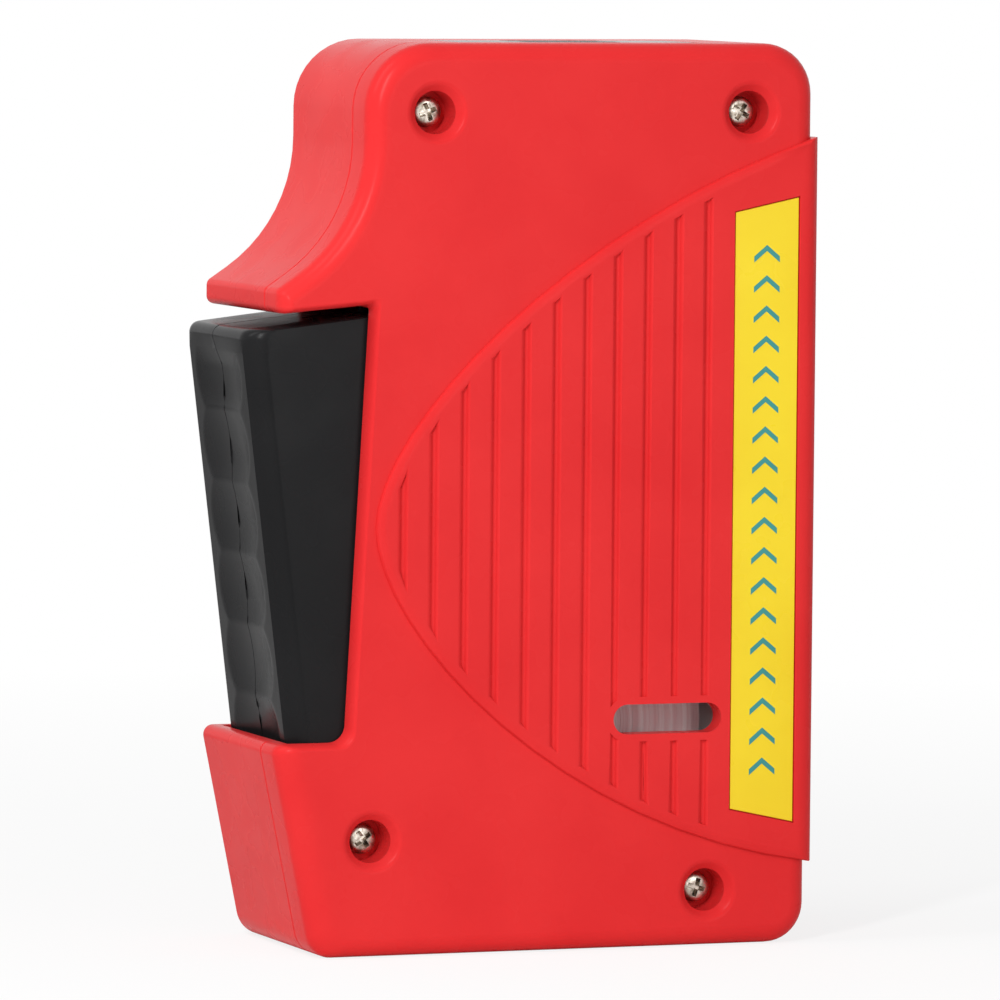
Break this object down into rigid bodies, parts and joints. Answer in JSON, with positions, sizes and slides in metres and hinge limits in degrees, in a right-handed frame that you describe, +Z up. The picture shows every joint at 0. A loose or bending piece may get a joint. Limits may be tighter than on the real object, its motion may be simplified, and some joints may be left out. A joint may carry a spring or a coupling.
{
  "type": "fibre optic cleaning cassette",
  "caption": "Hand-held dry cleaning cassette for fibre connectors: squeeze lever, sliding shutter over two cleaning slots, and tape wound from reel to reel.",
  "frame": {"origin": "middle of the flat foot that the cassette stands on, half way between the front face and the back face", "axes": "+X to the right across the front face, away from the lever; +Y from the front face to the back face; +Z up from the foot to the cleaning end"},
  "size_m": [0.089, 0.037, 0.1345],
  "materials": {
    "red_plastic": "fine satin moulding",
    "black_plastic": "semi-gloss",
    "grey_plastic": "moulded",
    "white_plastic": "moulded",
    "yellow_label": "printed film",
    "clear_plastic": "clear",
    "screw_steel": "nickel plated",
    "pin_steel": "ground",
    "spring_steel": "drawn wire",
    "tape_cloth": "fine woven microfibre",
    "brake_felt": "felt",
    "pad_rubber": "soft moulded rubber"
  },
  "bodies": {
    "housing": {"front_cover": "red_plastic", "rear_case": "red_plastic", "label_plate": "yellow_label", "housing_screws": "screw_steel", "window_pane": "clear_plastic", "lever_pivot_pin": "pin_steel", "lever_return_spring": "spring_steel", "supply_brake_ring": "brake_felt", "roller_pins": "pin_steel", "tape_web": "tape_cloth", "pad_carrier": "grey_plastic", "cleaning_pad": "pad_rubber", "window_plate": "black_plastic"},
    "lever": {"lever_front_half": "black_plastic", "lever_rear_half": "black_plastic", "drive_arm": "grey_plastic"},
    "drive_gear": {"drive_gear": "white_plastic"},
    "drive_pawl": {"drive_pawl": "grey_plastic"},
    "anti_reverse_pawl": {"anti_reverse_pawl": "grey_plastic"},
    "take_up_reel": {"take_up_spool": "black_plastic", "take_up_winding": "tape_cloth", "ratchet_wheel": "white_plastic"},
    "supply_reel": {"supply_spool": "black_plastic", "supply_tape_roll": "tape_cloth"},
    "roller_left": {"guide_roller_left": "white_plastic"},
    "roller_right": {"guide_roller_right": "white_plastic"},
    "roller_lower": {"guide_roller_lower": "white_plastic"},
    "shutter": {"shutter": "black_plastic"}
  },
  "joints": [
    {"name": "lever_press", "type": "hinge", "parent": "housing", "child": "lever", "pos_m": [-0.0365, 0, 0.027], "axis": [0, 1, 0], "range_deg": [0, 9.15], "stiffness_Nm_per_rad": 0.6, "springref_deg": -22.92, "deforming": ["lever_return_spring"]},
    {"name": "drive_gear_turn", "type": "hinge", "parent": "housing", "child": "drive_gear", "pos_m": [0.00583, 0.011, 0.08022], "axis": [0, 1, 0], "range_deg": [-70, 5]},
    {"name": "drive_pawl_click", "type": "hinge", "parent": "drive_gear", "child": "drive_pawl", "pos_m": [0.00624, 0.0077, 0.09181], "axis": [0, 1, 0], "range_deg": [-6, 0]},
    {"name": "anti_reverse_pawl_click", "type": "hinge", "parent": "housing", "child": "anti_reverse_pawl", "pos_m": [0.02181, 0.0077, 0.08603], "axis": [0, 1, 0], "range_deg": [-5, 0]},
    {"name": "take_up_spin", "type": "hinge", "parent": "housing", "child": "take_up_reel", "pos_m": [0.00583, -0.003, 0.08022], "axis": [0, 1, 0], "continuous": true},
    {"name": "supply_spin", "type": "hinge", "parent": "housing", "child": "supply_reel", "pos_m": [0.0015, -0.003, 0.0334], "axis": [0, 1, 0], "continuous": true},
    {"name": "roller_left_spin", "type": "hinge", "parent": "housing", "child": "roller_left", "pos_m": [-0.0235, -0.003, 0.109], "axis": [0, 1, 0], "continuous": true},
    {"name": "roller_right_spin", "type": "hinge", "parent": "housing", "child": "roller_right", "pos_m": [0.027, -0.003, 0.113], "axis": [0, 1, 0], "continuous": true},
    {"name": "roller_lower_spin", "type": "hinge", "parent": "housing", "child": "roller_lower", "pos_m": [0.0305, -0.003, 0.0559], "axis": [0, 1, 0], "continuous": true},
    {"name": "shutter_slide", "type": "slide", "parent": "housing", "child": "shutter", "axis": [1, 0, 0], "range_m": [0, 0.0166]}
  ],
  "couplings": [
    {"joint": "drive_gear_turn", "follows": "lever_press", "ratio": -6.5556},
    {"joint": "shutter_slide", "follows": "lever_press", "m_per_rad": 0.10143},
    {"joint": "supply_spin", "follows": "take_up_spin", "ratio": 0.44444},
    {"joint": "roller_left_spin", "follows": "take_up_spin", "ratio": 2.5},
    {"joint": "roller_right_spin", "follows": "take_up_spin", "ratio": 2.5},
    {"joint": "roller_lower_spin", "follows": "take_up_spin", "ratio": 2.5}
  ]
}
